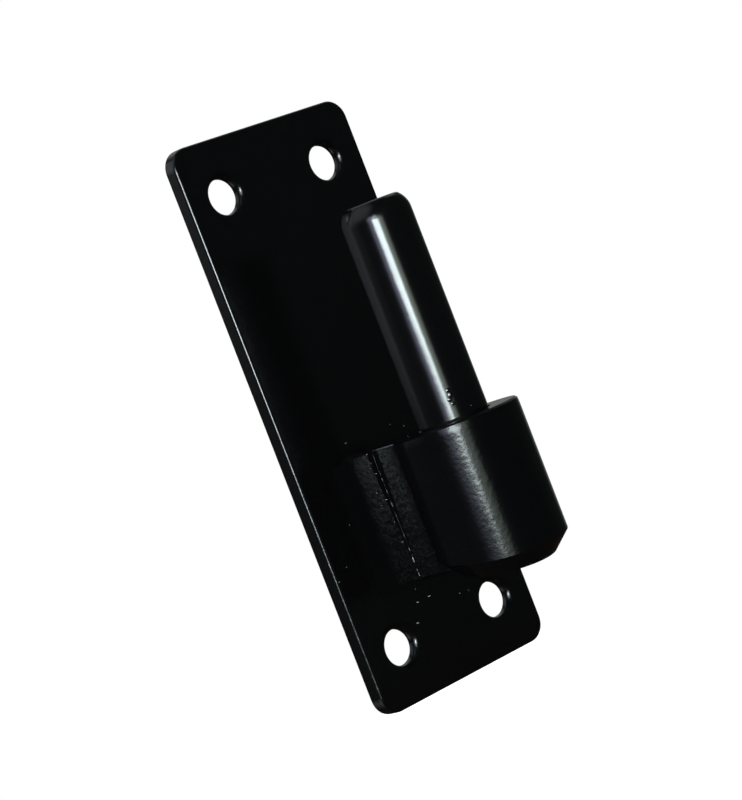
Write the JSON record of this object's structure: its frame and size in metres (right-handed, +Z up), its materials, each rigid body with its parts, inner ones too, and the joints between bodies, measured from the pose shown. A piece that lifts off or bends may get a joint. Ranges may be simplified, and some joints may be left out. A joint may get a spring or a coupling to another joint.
{
  "type": "offset hinge pin on plate",
  "caption": "Fixed half of an offset door hinge: a flat screw-on plate with a short web that holds a round boss and an upright pin.",
  "frame": {"origin": "centre of the plate's back face, which lies against the post", "axes": "+Z up along the pin, +X across the plate to the right seen from the front, the front looks along -Y"},
  "size_m": [0.04, 0.0335, 0.1],
  "materials": {
    "powder_coat": "gloss black powder coat"
  },
  "bodies": {
    "root": {"back_plate": "powder_coat", "spacer_web": "powder_coat", "pin_boss": "powder_coat", "hinge_pin": "powder_coat", "plate_weld": "powder_coat", "boss_weld_left": "powder_coat", "boss_weld_right": "powder_coat", "foot_weld": "powder_coat"}
  },
  "joints": []
}
